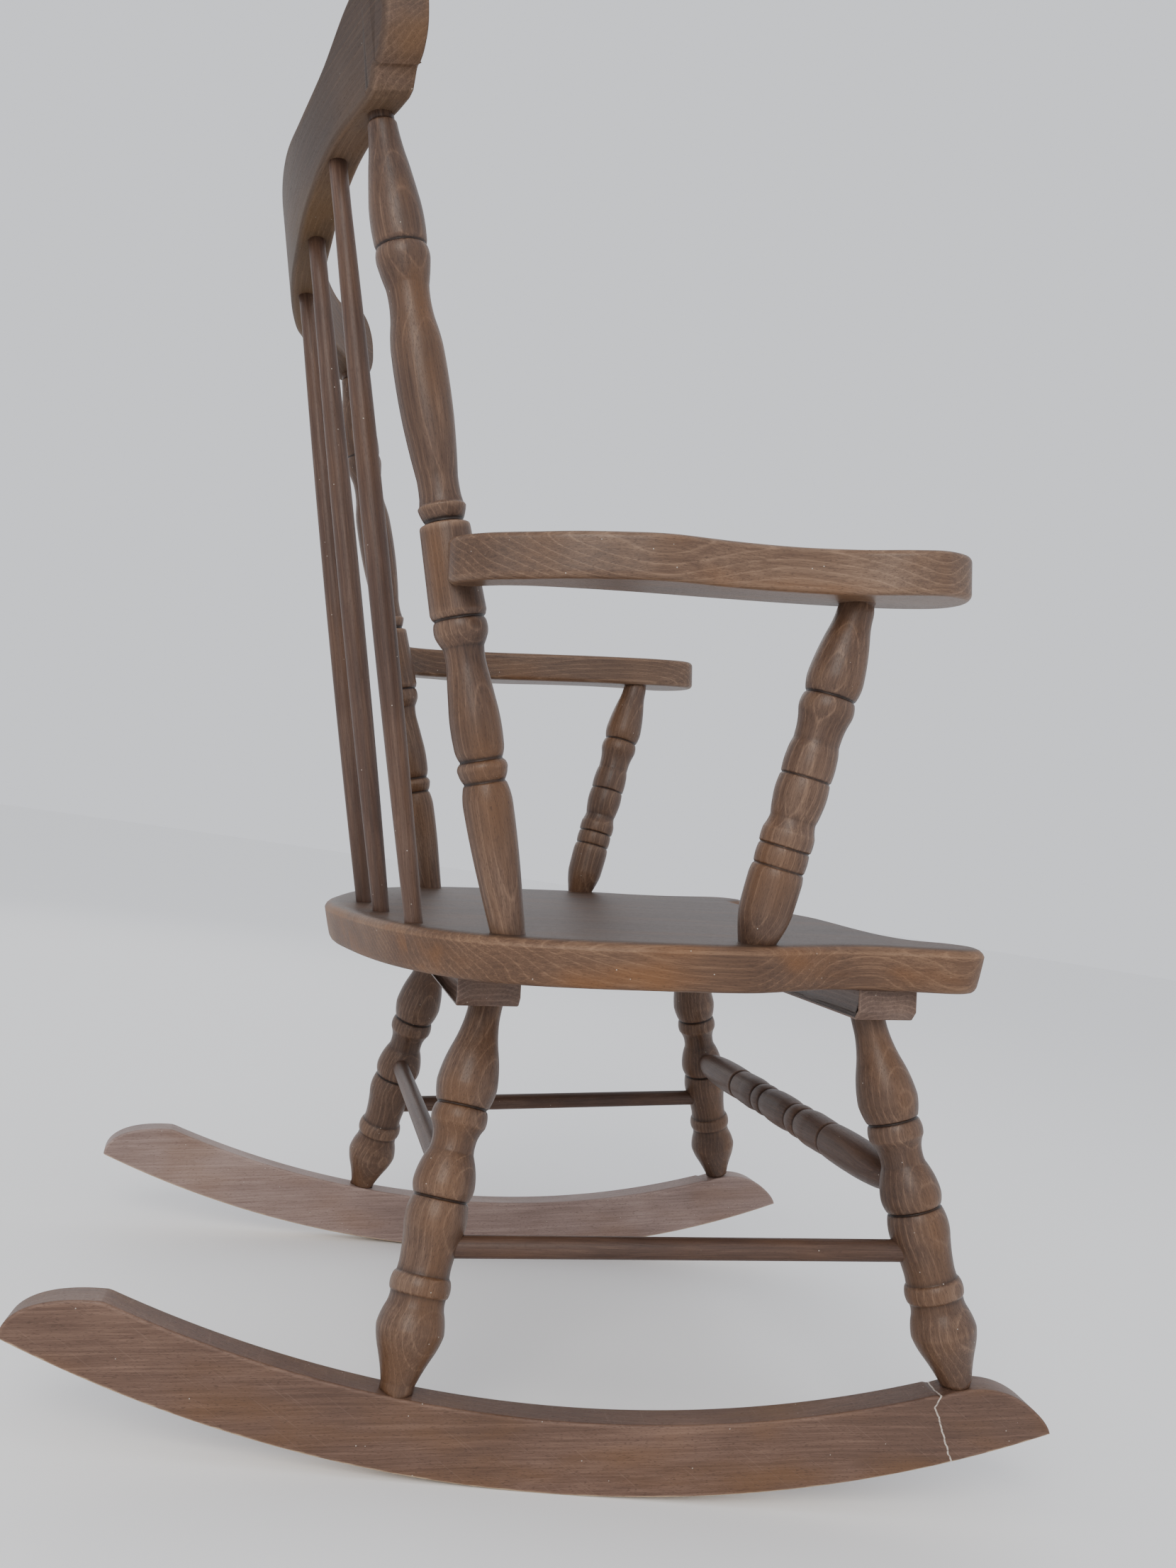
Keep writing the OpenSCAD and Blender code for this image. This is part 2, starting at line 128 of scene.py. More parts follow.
ARM_POST_TURNING = (
    (-6, 11, 0), (0, 11, 0.3), (7, 12.3, -0.4), (21, 14.3, 0.5), (49, 18.6, 0.8), (63.2, 16.9, 0),
    (63.6, 16, 0), (64.6, 16, 0), (65, 17, 0.9), (76.4, 17.8, -0.6), (92, 15.5, -0.1),
    (96, 15.5, 0.3), (105, 17, 0.4), (119, 16.9, 0), (119.4, 15.9, 0), (120.2, 15.9, 0),
    (120.6, 16.8, 0.7), (138, 17, 0.2), (148, 15.3, -0.4), (157, 17.5, 0.3), (166.6, 17.5, 0),
    (167, 16.3, 0), (167.9, 16.3, 0), (168.3, 17.1, 0.5), (180.6, 17.1, 0), (181, 16.3, 0),
    (181.9, 16.3, 0), (182.3, 17.2, 0.3), (190.5, 18.1, 0.1), (211.3, 17.6, 0.3), (225.4, 14.4, 0),
    (234.8, 11.4, 0), (252, 11.4, 0))
# From the middle of the front stretcher to its end
FRONT_TURNING = (
    (0, 14.6, 0), (14, 14.4, 0.1), (29, 13, 0), (30, 12.2, 0), (32, 12.2, 0),
    (33, 13.2, 0.9), (49, 13.2, 0), (50, 12.2, 0), (52, 12.2, 0),
    (53, 13.2, 0.8), (78, 14.6, 0.2), (103, 13.9, 0), (104, 12.9, 0), (106.5, 12.9, 0),
    (107.5, 14.3, 0.3), (150, 14.7, 0.5), (194, 12.6, 0.4), (214, 8.6, 0), (231, 7.5, 0))

# Half of each flat outline, from the middle of the back or of the lower edge round
SEAT_HALF = (
    (-56, 0), (-54.5, 36), (-48, 76), (-37, 128), (-23, 175), (-6, 212), (14, 242),
    (39, 266), (68, 279), (102, 287), (140, 291.5), (178, 294.5), (212, 293),
    (242, 281), (272, 268), (304, 264), (334, 271), (362, 277), (381, 268),
    (389, 244), (382, 222), (364, 203), (358, 166), (361, 112), (367, 55), (371, 0))
CREST_LOWER = (
    (0, 0), (45, 0.6), (85, 2.3), (115, 7.4), (150, 12.4), (186, 17.7), (220, 19.3),
    (252, 17.4), (268, 17.6))
CREST_EAR = ((274, 20), (281, 31))
CREST_UPPER = (
    (0, 84.8), (75, 81.2), (140, 72.7), (200, 73.5), (248, 87), (274, 93), (291, 87), (300, 71),
    (298, 50), (291, 37), (284, 31))
# The left arm, from inside its back post along the outer side and back
ARM_OUTLINE = (
    (4.6, 262), (0.5, 271), (3, 281), (11, 290), (24, 299), (48, 309), (72, 318.5), (100, 325),
    (130, 328), (176, 319), (217, 315.5), (256, 320), (288, 330), (310, 333), (330, 322), (337, 300),
    (327, 281), (298, 271), (258, 268), (214, 269), (165, 273), (112, 278), (62, 278), (38, 274),
    (22, 266), (10, 257))
# Ends of a rocker, along the board and up, as cubic curves
ROCKER_TAIL = ((-182.5, 65.5), (-216, 69), (-241, 62), (-242, 43))
ROCKER_NOSE = ((363, -1.5), (399, 8.5), (419.5, -1), (433.5, -14))
ROCKER_TIP = ((433.5, -14), (446, -25), (449, -37), (430, -36))

# Camera, in metres and degrees in the row frame, and its lens in millimetres on a 36 mm frame
CAMERA_AT = (-0.2182, -1.0654, 0.4100)
CAMERA_AZIMUTH = 12.42
CAMERA_ELEVATION = 3.05
CAMERA_ROLL = 8.52
CAMERA_LENS = 29.43


# ---------------------------------------------------------------- curves and outlines

def placed(p):
    dx = p[0] - ROCKING_X
    dz = p[2] - ROCKING_Z
    x = dx * math.cos(LEAN) - dz * math.sin(LEAN) + SHIFT_X
    z = dx * math.sin(LEAN) + dz * math.cos(LEAN) + REST_Z
    return Vector((x, p[1], z)) * 0.001


def other_side(p):
    return (p[0], -p[1], p[2])


def between(a, b, share):
    return tuple(a[i] + (b[i] - a[i]) * share for i in range(3))


def catmull(a, b, c, d, t):
    return 0.5 * (2 * b + (c - a) * t + (2 * a - 5 * b + 4 * c - d) * t ** 2
                  + (3 * b - 3 * c + d - a) * t ** 3)


def smooth_ring(points, steps):
    p = np.array(points, float)
    n = len(p)
    out = []
    for i in range(n):
        for j in range(steps):
            out.append(catmull(p[i - 1], p[i], p[(i + 1) % n], p[(i + 2) % n], j / steps))
    return np.array(out)


def smooth_row(points, steps):
    p = np.array(points, float)
    n = len(p)
    out = []
    for i in range(n - 1):
        for j in range(steps):
            out.append(catmull(p[max(i - 1, 0)], p[i], p[i + 1], p[min(i + 2, n - 1)], j / steps))
    out.append(p[-1])
    return np.array(out)


def cubic(points, steps):
    p = np.array(points, float)
    t = np.linspace(0, 1, steps + 1)[:, None]
    u = 1 - t
    return p[0] * u ** 3 + 3 * p[1] * u ** 2 * t + 3 * p[2] * u * t ** 2 + p[3] * t ** 3


def soften(points, radius, steps=4):
    """Rounds the corners of a closed outline."""
    p = np.array(points, float)
    n = len(p)
    out = []
    for i in range(n):
        before = p[i - 1] - p[i]
        after = p[(i + 1) % n] - p[i]
        lb = np.linalg.norm(before)
        la = np.linalg.norm(after)
        turn = math.pi - math.acos(np.clip(np.dot(before, after) / (lb * la), -1, 1))
        if turn < math.radians(9):
            out.append(p[i])
            continue
        cut = min(radius * math.tan(turn / 2), 0.45 * lb, 0.45 * la)
        a = p[i] + before / lb * cut
        b = p[i] + after / la * cut
        for j in range(steps + 1):
            t = j / steps
            out.append(a * (1 - t) ** 2 + 2 * p[i] * t * (1 - t) + b * t ** 2)
    return np.array(out)


def counter_clockwise(p):
    q = np.roll(p, -1, axis=0)
    area = np.sum(p[:, 0] * q[:, 1] - q[:, 0] * p[:, 1])
    return p if area > 0 else p[::-1]


def inward(outline):
    """Unit normals that point into a counter-clockwise outline."""
    t = np.roll(outline, -1, axis=0) - np.roll(outline, 1, axis=0)
    t /= np.linalg.norm(t, axis=1)[:, None]
    return np.stack([-t[:, 1], t[:, 0]], axis=1)


def room_inside(outline, normals, reach):
    """How far each point can move inward before the outline would fold over."""
    limit = np.full(len(outline), float(reach))
    free = np.ones(len(outline), bool)
    step = 0.4
    d = step
    while d <= reach:
        q = outline + normals * d
        gap = np.sqrt(((q[:, None, :] - outline[None, :, :]) ** 2).sum(2)).min(1)
        folded = free & (gap < d * 0.97 - 0.05)
        limit[folded] = d - step
        free &= ~folded
        d += step
    for _ in range(3):
        limit = np.minimum(limit, (np.roll(limit, 1) + limit + np.roll(limit, -1)) / 3)
    return limit


def round_edge(radius, steps=6):
    """Inset and drop from the face, going from the side onto the face."""
    out = [(0.0, radius + 0.9)]
    for i in range(steps + 1):
        a = math.pi / 2 * i / steps
        out.append((radius * (1 - math.cos(a)), radius * (1 - math.sin(a))))
    out.append((radius + 0.9, 0.0))
    return out


# ---------------------------------------------------------------- meshes

def lathe_profile(turning):
    """Fine samples of a turned outline: distance, radius and wear with painted light (lighter edges,
    painted shade in grooves), with softened corners.
    """
    d = []
    r = []
    for a, b in zip(turning, turning[1:]):
        n = 16 if a[2] else 2
        for i in range(n):
            s = i / n
            d.append(a[0] + (b[0] - a[0]) * s)
            r.append(a[1] + (b[1] - a[1]) * s + 4 * a[2] * s * (1 - s))
    d.append(turning[-1][0])
    r.append(turning[-1][1])
    x = np.arange(d[0], d[-1] + PROFILE_STEP / 2, PROFILE_STEP)
    y = np.interp(x, d, r)
    fine = blurred(y, CORNER_BLUR / PROFILE_STEP)
    wide = blurred(y, WEAR_AND_LIGHT_REACH / PROFILE_STEP)
    # positive on beads and edges, lighter as wear and partly as a painted highlight; negative in
    # grooves, where it paints shade
    wear_and_painted_light = np.clip((fine - wide) / WEAR_AND_LIGHT_DEPTH, -1, 1)
    keep = simplified(x, fine, 0.012, 5.0)
    return x[keep], fine[keep], wear_and_painted_light[keep]


def blurred(y, sigma):
    half = int(sigma * 3) + 1
    k = np.exp(-0.5 * (np.arange(-half, half + 1) / sigma) ** 2)
    k /= k.sum()
    return np.convolve(np.pad(y, half, mode="edge"), k, mode="valid")


def simplified(x, y, tolerance, longest):
    """Indices of the samples that are needed to stay within the tolerance."""
    keep = {0, len(x) - 1}
    todo = [(0, len(x) - 1)]
    while todo:
        a, b = todo.pop()
        if b - a < 2:
            continue
        line = y[a] + (y[b] - y[a]) * (x[a:b + 1] - x[a]) / (x[b] - x[a])
        gap = np.abs(y[a:b + 1] - line)
        worst = int(gap.argmax())
        if gap[worst] <= tolerance and x[b] - x[a] <= longest:
            continue
        if gap[worst] <= tolerance or worst in (0, b - a):
            worst = (b - a) // 2
        keep.add(a + worst)
        todo.append((a, a + worst))
        todo.append((a + worst, b))
    return sorted(keep)


def turned(profile, sides=72):
    """Closed turned solid along local Z."""
    bm = bmesh.new()
    wear_and_painted_light = bm.verts.layers.float.new("wear_and_painted_light")
    rings = []
    for z, r, w in zip(*profile):
        ring = []
        for i in range(sides):
            a = 2 * math.pi * i / sides
            v = bm.verts.new((r * math.cos(a), r * math.sin(a), z))
            v[wear_and_painted_light] = w
            ring.append(v)
        rings.append(ring)
    join_rings(bm, rings)
    return bm


def join_rings(bm, rings):
    n = len(rings[0])
    for a, b in zip(rings, rings[1:]):
        for i in range(n):
            j = (i + 1) % n
            bm.faces.new((a[i], a[j], b[j], b[i]))
    bm.faces.new(list(reversed(rings[0])))
    bm.faces.new(rings[-1])


def board(outline, rings, strips=0.0):
    """Closed board: rings are (inset, height, wear and painted highlight of the edge), from the lower
    face up to the upper one.
    """
    p = counter_clockwise(np.array(outline, float))
    normals = inward(p)
    room = room_inside(p, normals, max(r[0] for r in rings) + 0.4)
    bm = bmesh.new()
    wear_and_painted_light = bm.verts.layers.float.new("wear_and_painted_light")
    made = []
    for inset, height, w in rings:
        q = p + normals * np.minimum(inset, room)[:, None]
        ring = []
        for a, b in q:
            v = bm.verts.new((a, b, height))
            v[wear_and_painted_light] = w
            ring.append(v)
        made.append(ring)
    join_rings(bm, made)
    if strips:
        lo = p[:, 0].min()
        hi = p[:, 0].max()
        for i in range(1, int((hi - lo) / strips)):
            everything = bm.verts[:] + bm.edges[:] + bm.faces[:]
            bmesh.ops.bisect_plane(
                bm, geom=everything, dist=0.0005, plane_co=(lo + i * strips, 0, 0), plane_no=(1, 0, 0))
    return bm


def board_rings(thickness, lower, upper, wear_and_painted_light=0.5):
    """Rings of a board from 0 up to its thickness with rounded lower and upper edges, lightened as
    wear and partly as a painted highlight.
    """
    rings = []
    for inset, drop in reversed(lower):
        rings.append((inset, drop, wear_and_painted_light if 0 < inset < lower[-1][0] else 0.0))
    for inset, drop in upper:
        rings.append((inset, thickness - drop, wear_and_painted_light if 0 < inset < upper[-1][0] else 0.0))
    return rings


def along(line):
    """Matrix that turns local Z onto a centre line, with the origin at its first end."""
    a = Vector(line[0])
    z = (Vector(line[1]) - a).normalized()
    x = Vector((0, 1, 0)).cross(z).normalized()
    if x.length < 0.5:
        x = Vector((1, 0, 0))
    y = z.cross(x)
    m = Matrix((x, y, z)).transposed().to_4x4()
    m.translation = a
    return m


def make_piece(node, material, bm, to_bench, grain_of, mirror=False, pith=(70, 26)):
    """Turns a mesh in its own frame into the piece that stands for a CAD node.

    pith gives how far away the tree's pith lies, at most and at least."""
    bmesh.ops.recalc_face_normals(bm, faces=bm.faces[:])
    dice = random.Random(node)
    shift = (
        dice.choice((-1, 1)) * dice.uniform(*sorted(pith)),
        dice.uniform(pith[0] * 0.8, pith[0] * 1.5),
        dice.uniform(-900, 900))
    tone = dice.uniform(-1, 1)
    places = [v.co.copy() for v in bm.verts]
    grains = []
    for v in bm.verts:
        g = grain_of(v.co)
        grains.extend((g[0] + shift[0], g[1] + shift[1], g[2] + shift[2]))
        p = to_bench(v.co)
        v.co = placed(other_side(p) if mirror else p)
    if mirror:
        bmesh.ops.reverse_faces(bm, faces=bm.faces[:])
    for f in bm.faces:
        f.smooth = True
    mesh = bpy.data.meshes.new("v_" + node)
    bm.to_mesh(mesh)
    bm.free()
    attribute = mesh.attributes.new("grain", "FLOAT_VECTOR", "POINT")
    attribute.data.foreach_set("vector", grains)
    attribute = mesh.attributes.new("place", "FLOAT_VECTOR", "POINT")
    attribute.data.foreach_set("vector", [c for p in places for c in p])
    attribute = mesh.attributes.new("tone", "FLOAT", "POINT")
    attribute.data.foreach_set("value", [tone] * len(mesh.vertices))
    mesh.materials.append(material)
    piece = bpy.data.objects.new("v_" + node, mesh)
    bpy.context.scene.collection.objects.link(piece)
    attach(piece, "root")
    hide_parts(node)
    return piece


# ---------------------------------------------------------------- materials

class Graph:
    """Short names for building a material's nodes."""

    def __init__(self, name):
        self.material = bpy.data.materials.new(name)
        self.material.use_nodes = True
        self.tree = self.material.node_tree
        self.tree.nodes.clear()

    def put(self, socket, value):
        if isinstance(value, bpy.types.NodeSocket):
            self.tree.links.new(value, socket)
        else:
            socket.default_value = value

    def attribute(self, name, output):
        n = self.tree.nodes.new("ShaderNodeAttribute")
        n.attribute_name = name
        return n.outputs[output]

    def math(self, operation, a, b=0.0, clamp=False):
        n = self.tree.nodes.new("ShaderNodeMath")
        n.operation = operation
        n.use_clamp = clamp
        self.put(n.inputs[0], a)
        self.put(n.inputs[1], b)
        return n.outputs[0]

    def vector(self, operation, a, b=(0, 0, 0)):
        n = self.tree.nodes.new("ShaderNodeVectorMath")
        n.operation = operation
        self.put(n.inputs[0], a)
        self.put(n.inputs[1], b)
        return n.outputs["Value"] if operation == "LENGTH" else n.outputs[0]

    def split(self, vector):
        n = self.tree.nodes.new("ShaderNodeSeparateXYZ")
        self.put(n.inputs[0], vector)
        return n.outputs

    def noise(self, vector, detail=2.0, roughness=0.5, colour=False):
        n = self.tree.nodes.new("ShaderNodeTexNoise")
        self.put(n.inputs["Vector"], vector)
        n.inputs["Scale"].default_value = 1.0
        n.inputs["Detail"].default_value = detail
        n.inputs["Roughness"].default_value = roughness
        return n.outputs["Color" if colour else "Fac"]

    def cells(self, vector):
        n = self.tree.nodes.new("ShaderNodeTexVoronoi")
        self.put(n.inputs["Vector"], vector)
        n.inputs["Scale"].default_value = 1.0
        return n.outputs

    def span(self, value, low, high, to_low=0.0, to_high=1.0, smooth=False):
        n = self.tree.nodes.new("ShaderNodeMapRange")
        n.interpolation_type = "SMOOTHSTEP" if smooth else "LINEAR"
        self.put(n.inputs["Value"], value)
        n.inputs["From Min"].default_value = low
        n.inputs["From Max"].default_value = high
        n.inputs["To Min"].default_value = to_low
        n.inputs["To Max"].default_value = to_high
        return n.outputs["Result"]

    def mix(self, share, a, b):
        n = self.tree.nodes.new("ShaderNodeMix")
        n.data_type = "RGBA"
        self.put(n.inputs[0], share)
        self.put(n.inputs[6], a)
        self.put(n.inputs[7], b)
        return n.outputs[2]

    def ramp(self, value, stops):
        n = self.tree.nodes.new("ShaderNodeValToRGB")
        self.put(n.inputs[0], value)
        ramp = n.color_ramp
        while len(ramp.elements) < len(stops):
            ramp.elements.new(0.5)
        for element, (position, colour) in zip(ramp.elements, stops):
            element.position = position
            element.color = colour
        return n.outputs[0]


def colour(r, g, b):
    """Linear colour from values of 0 to 255 as seen on a screen."""
    out = []
    for v in (r, g, b):
        v /= 255
        out.append(v / 12.92 if v <= 0.04045 else ((v + 0.055) / 1.055) ** 2.4)
    return (out[0], out[1], out[2], 1.0)


def wood(name, dark, mid, light, warm, ring=4.0, rings=0.5, fibres=0.5, flecks=0.5, warmth=0.5,
         roughness=0.42, coat=0.25, boards=0.0, extra=None):
    """Stained and varnished beech, grown around the Z axis of the grain attribute."""
    g = Graph(name)
    grain = g.attribute("grain", "Vector")
    place = g.attribute("place", "Vector")
    wear_and_painted_light = g.attribute("wear_and_painted_light", "Fac")
    tone = g.attribute("tone", "Fac")

    if boards:
        across = g.split(place)[1]
        index = g.math("FLOOR", g.math("DIVIDE", across, boards))
        n = g.tree.nodes.new("ShaderNodeTexWhiteNoise")
        n.noise_dimensions = "1D"
        g.put(n.inputs["W"], index)
        jump = g.vector("MULTIPLY", n.outputs["Color"], (55, 0, 700))
        grain = g.vector("ADD", grain, jump)

    # slow waviness of the grain
    wave = g.noise(g.vector("MULTIPLY", grain, (0.016, 0.016, 0.0042)), 2.0, 0.5, True)
    wave = g.vector("MULTIPLY", g.vector("SUBTRACT", wave, (0.5, 0.5, 0.5)), (11, 11, 0))
    bent = g.vector("ADD", grain, wave)

    # growth rings
    flat = g.vector("MULTIPLY", bent, (1, 1, 0))
    phase = g.math("DIVIDE", g.vector("LENGTH", flat), ring)
    uneven = g.noise(g.vector("MULTIPLY", bent, (0.035, 0.035, 0.002)), 1.0)
    phase = g.math("ADD", phase, g.math("MULTIPLY", uneven, 3.0))
    turn = g.math("FRACT", phase)
    late = g.ramp(turn, (
        (0.0, (0.1, 0.1, 0.1, 1)), (0.5, (0, 0, 0, 1)), (0.8, (0.3, 0.3, 0.3, 1)),
        (0.9, (1, 1, 1, 1)), (1.0, (0.1, 0.1, 0.1, 1))))

    # fine fibres, broad streaks, ray flecks, pores and slow changes of the stain
    fibre = g.noise(g.vector("MULTIPLY", bent, (1.5, 1.5, 0.035)), 4.0, 0.62)
    streak = g.noise(g.vector("MULTIPLY", bent, (0.5, 0.5, 0.008)), 3.0, 0.6)
    ray = g.noise(g.vector("MULTIPLY", bent, (1.9, 1.9, 0.36)), 0.0)
    ray = g.span(ray, 0.64, 0.74)
    pore = g.noise(g.vector("MULTIPLY", bent, (4.2, 4.2, 0.5)), 1.0)
    pore = g.span(pore, 0.6, 0.72)
    blotch = g.noise(g.vector("MULTIPLY", grain, (0.019, 0.019, 0.008)), 3.0, 0.55)
    hue = g.noise(g.vector("MULTIPLY", grain, (0.028, 0.028, 0.011)), 2.0, 0.5)

    value = g.math("MULTIPLY", g.math("SUBTRACT", fibre, 0.5), 0.9 * fibres)
    value = g.math("ADD", value, g.math("MULTIPLY", g.math("SUBTRACT", streak, 0.5), 0.7))
    value = g.math("ADD", value, g.math("MULTIPLY", g.math("SUBTRACT", blotch, 0.5), 0.9))
    value = g.math("ADD", value, g.math("MULTIPLY", g.math("SUBTRACT", late, 0.3), 0.34 * rings))
    value = g.math("ADD", value, g.math("MULTIPLY", tone, 0.05))
    # lighter edges as wear and partly a painted highlight, darker grooves as painted shade
    value = g.math("ADD", value, g.math("MULTIPLY", wear_and_painted_light, 0.45))
    value = g.math("ADD", value, 0.5, clamp=True)
    body = g.ramp(value, ((0.0, dark), (0.5, mid), (1.0, light)))

    share = g.math("MULTIPLY", g.span(hue, 0.45, 0.72, smooth=True), warmth)
    body = g.mix(share, body, warm)
    body = g.mix(g.math("MULTIPLY", ray, 0.42 * flecks), body, dark)
    body = g.mix(g.math("MULTIPLY", pore, 0.25), body, dark)
    # painted shade: the grooves of the turnings darkened
    painted_groove_shade = g.span(wear_and_painted_light, -0.25, -0.9)
    body = g.mix(g.math("MULTIPLY", painted_groove_shade, 0.7), body, colour(26, 18, 14))

    # a few specks of pale dust
    specks = g.cells(g.vector("MULTIPLY", grain, (0.16, 0.16, 0.16)))
    near = g.span(specks["Distance"], 0.075, 0.045)
    rare = g.math("GREATER_THAN", g.split(specks["Color"])[0], 0.8)
    speck = g.math("MULTIPLY", near, rare)
    body = g.mix(g.math("MULTIPLY", speck, 0.6), body, colour(205, 196, 184))

    rough = g.math("ADD", g.math("MULTIPLY", streak, 0.16), roughness - 0.08)
    rough = g.math("ADD", rough, g.math("MULTIPLY", ray, 0.1))
    rough = g.math("ADD", rough, g.math("MULTIPLY", speck, 0.3))

    height = g.math("MULTIPLY", fibre, 0.35)
    height = g.math("ADD", height, g.math("MULTIPLY", late, 0.22))
    height = g.math("SUBTRACT", height, g.math("MULTIPLY", ray, 0.12))
    height = g.math("SUBTRACT", height, g.math("MULTIPLY", pore, 0.2))
    height = g.math("ADD", height, g.math("MULTIPLY", blotch, 0.8))
    if extra:
        body, rough, height = extra(g, place, body, rough, height)

    bump = g.tree.nodes.new("ShaderNodeBump")
    bump.inputs["Strength"].default_value = 0.35
    bump.inputs["Distance"].default_value = 0.0006
    g.put(bump.inputs["Height"], height)

    shader = g.tree.nodes.new("ShaderNodeBsdfPrincipled")
    g.put(shader.inputs["Base Color"], body)
    g.put(shader.inputs["Roughness"], rough)
    g.put(shader.inputs["Normal"], bump.outputs[0])
    shader.inputs["IOR"].default_value = 1.45
    shader.inputs["Specular IOR Level"].default_value = 0.32
    shader.inputs["Coat Weight"].default_value = coat
    shader.inputs["Coat Roughness"].default_value = 0.28
    shader.inputs["Coat IOR"].default_value = 1.45
    out = g.tree.nodes.new("ShaderNodeOutputMaterial")
    g.put(out.inputs["Surface"], shader.outputs[0])
    return g.material


def seat_top_painted_shade(g, place, body, rough, height):
    """The top painted darker as painted shade and dark reflections, and smoother than the edge."""
    top = g.span(g.split(place)[2], SEAT_T - 1.6, SEAT_T - 0.3)
    # painted shade: the top darkened to stand in for its shade and dark reflections
    body = g.mix(g.math("MULTIPLY", top, 0.65), body, colour(34, 25, 21))
    rough = g.math("SUBTRACT", rough, g.math("MULTIPLY", top, 0.06))
    return body, rough, height


def crest_painted_shade_and_bounce(g, place, body, rough, height):
    """Painted shade darkening the back, and painted warm bounce light along the lower edge."""
    parts = g.split(place)
    # painted bounce light: the lower edge warmed to ochre
    low = g.span(parts[1], 25.0, 12.0)
    body = g.mix(g.math("MULTIPLY", low, 0.3), body, colour(104, 80, 46))
    # painted shade: the back face darkened
    back = g.span(parts[2], CREST_T - 3.4, CREST_T - 0.6)
    body = g.mix(g.math("MULTIPLY", back, 0.55), body, colour(44, 36, 32))
    return body, rough, height


def rocker_scratches_and_edge_highlight(g, place, body, rough, height):
    """Cross scratches, and the pale rocking edge: worn wood and a painted highlight."""
    n = g.tree.nodes.new("ShaderNodeVectorRotate")
    n.rotation_type = "Z_AXIS"
    n.inputs["Angle"].default_value = math.radians(38)
    g.put(n.inputs["Vector"], place)
    lines = g.noise(g.vector("MULTIPLY", n.outputs[0], (0.03, 1.3, 0.05)), 1.0)
    scratch = g.span(lines, 0.66, 0.72)
    body = g.mix(g.math("MULTIPLY", scratch, 0.07), body, colour(170, 145, 130))
    parts = g.split(place)
    dx = g.math("SUBTRACT", parts[0], ROCKING_S)
    dz = g.math("SUBTRACT", parts[1], ROCKING_Z)
    square = g.math("ADD", g.math("MULTIPLY", dx, dx), g.math("MULTIPLY", dz, dz))
    reach = g.math("SQRT", square)
    ragged = g.noise(g.vector("MULTIPLY", place, (0.05, 0.4, 0.4)), 3.0)
    reach = g.math("ADD", reach, g.math("MULTIPLY", g.math("SUBTRACT", ragged, 0.5), 1.8))
    # pale rocking edge: worn bare wood, partly a painted highlight of the edge catching light
    worn_and_lit_edge = g.span(reach, ROCKER_R - 1.3, ROCKER_R - 0.5)
    body = g.mix(g.math("MULTIPLY", worn_and_lit_edge, 0.75), body, colour(196, 172, 140))
    rough = g.math("ADD", rough, g.math("MULTIPLY", worn_and_lit_edge, 0.2))
    return body, rough, height


def right_rocker_marks(g, place, body, rough, height):
    """The glue line of an old repair near the front end."""
    body, rough, height = rocker_scratches_and_edge_highlight(g, place, body, rough, height)
    parts = g.split(place)
    along_board = parts[0]
    up = parts[1]
    lean = g.span(up, -45.0, -8.0, 372.5, 359.8)
    back = g.span(up, -8.0, 1.0, 0.0, 5.2)
    wobble = g.noise(g.vector("MULTIPLY", place, (0.0, 0.22, 0.1)), 2.0)
    middle = g.math("ADD", g.math("ADD", lean, back), g.math("MULTIPLY", wobble, 3.0))
    gap = g.math("ABSOLUTE", g.math("SUBTRACT", g.math("ADD", along_board, 1.5), middle))
    patchy = g.noise(g.vector("MULTIPLY", place, (0.5, 0.5, 0.5)), 2.0)
    glue = g.math("MULTIPLY", g.span(gap, 0.75, 0.35), g.span(patchy, 0.25, 0.5))
    body = g.mix(g.math("MULTIPLY", glue, 0.75), body, colour(206, 196, 184))
    height = g.math("ADD", height, g.math("MULTIPLY", glue, 0.6))
    return body, rough, height


def left_rocker_marks(g, place, body, rough, height):
    """A small dark knot."""
    body, rough, height = rocker_scratches_and_edge_highlight(g, place, body, rough, height)
    away = g.vector("MULTIPLY", g.vector("SUBTRACT", place, (52, -12, 0)), (0.55, 1, 0))
    knot = g.span(g.vector("LENGTH", away), 3.4, 2.0)
    body = g.mix(g.math("MULTIPLY", knot, 0.8), body, colour(48, 32, 27))
    return body, rough, height


turned_wood = wood(
    "turned_wood", colour(46, 31, 24), colour(84, 63, 50), colour(124, 98, 79),
    colour(104, 70, 40), ring=4.0, rings=0.75, fibres=0.7, flecks=0.9, warmth=0.4,
    roughness=0.42, coat=0.12)
slender_wood = wood(
    "slender_wood", colour(44, 30, 25), colour(77, 57, 47), colour(110, 87, 73),
    colour(92, 63, 42), ring=5.0, rings=0.3, fibres=0.9, flecks=0.5, warmth=0.3,
    roughness=0.48, coat=0.08)
seat_wood = wood(
    "seat_wood", colour(52, 36, 27), colour(92, 68, 52), colour(130, 101, 78),
    colour(122, 80, 42), ring=4.4, rings=0.7, fibres=0.7, flecks=0.7, warmth=0.5,
    roughness=0.52, coat=0.0, boards=104.0, extra=seat_top_painted_shade)
batten_wood = wood(
    "batten_wood", colour(58, 43, 37), colour(98, 79, 69), colour(130, 107, 94),
    colour(104, 77, 57), ring=3.4, rings=0.9, fibres=0.7, flecks=0.5, warmth=0.2,
    roughness=0.52, coat=0.05)
board_wood = wood(
    "board_wood", colour(50, 35, 28), colour(92, 70, 55), colour(130, 104, 84),
    colour(114, 76, 42), ring=4.0, rings=0.8, fibres=0.7, flecks=0.9, warmth=0.4,
    roughness=0.42, coat=0.12)
crest_wood = wood(
    "crest_wood", colour(46, 33, 27), colour(82, 63, 51), colour(114, 91, 75),
    colour(106, 74, 40), ring=4.0, rings=0.7, fibres=0.7, flecks=0.8, warmth=0.4,
    roughness=0.62, coat=0.0, extra=crest_painted_shade_and_bounce)
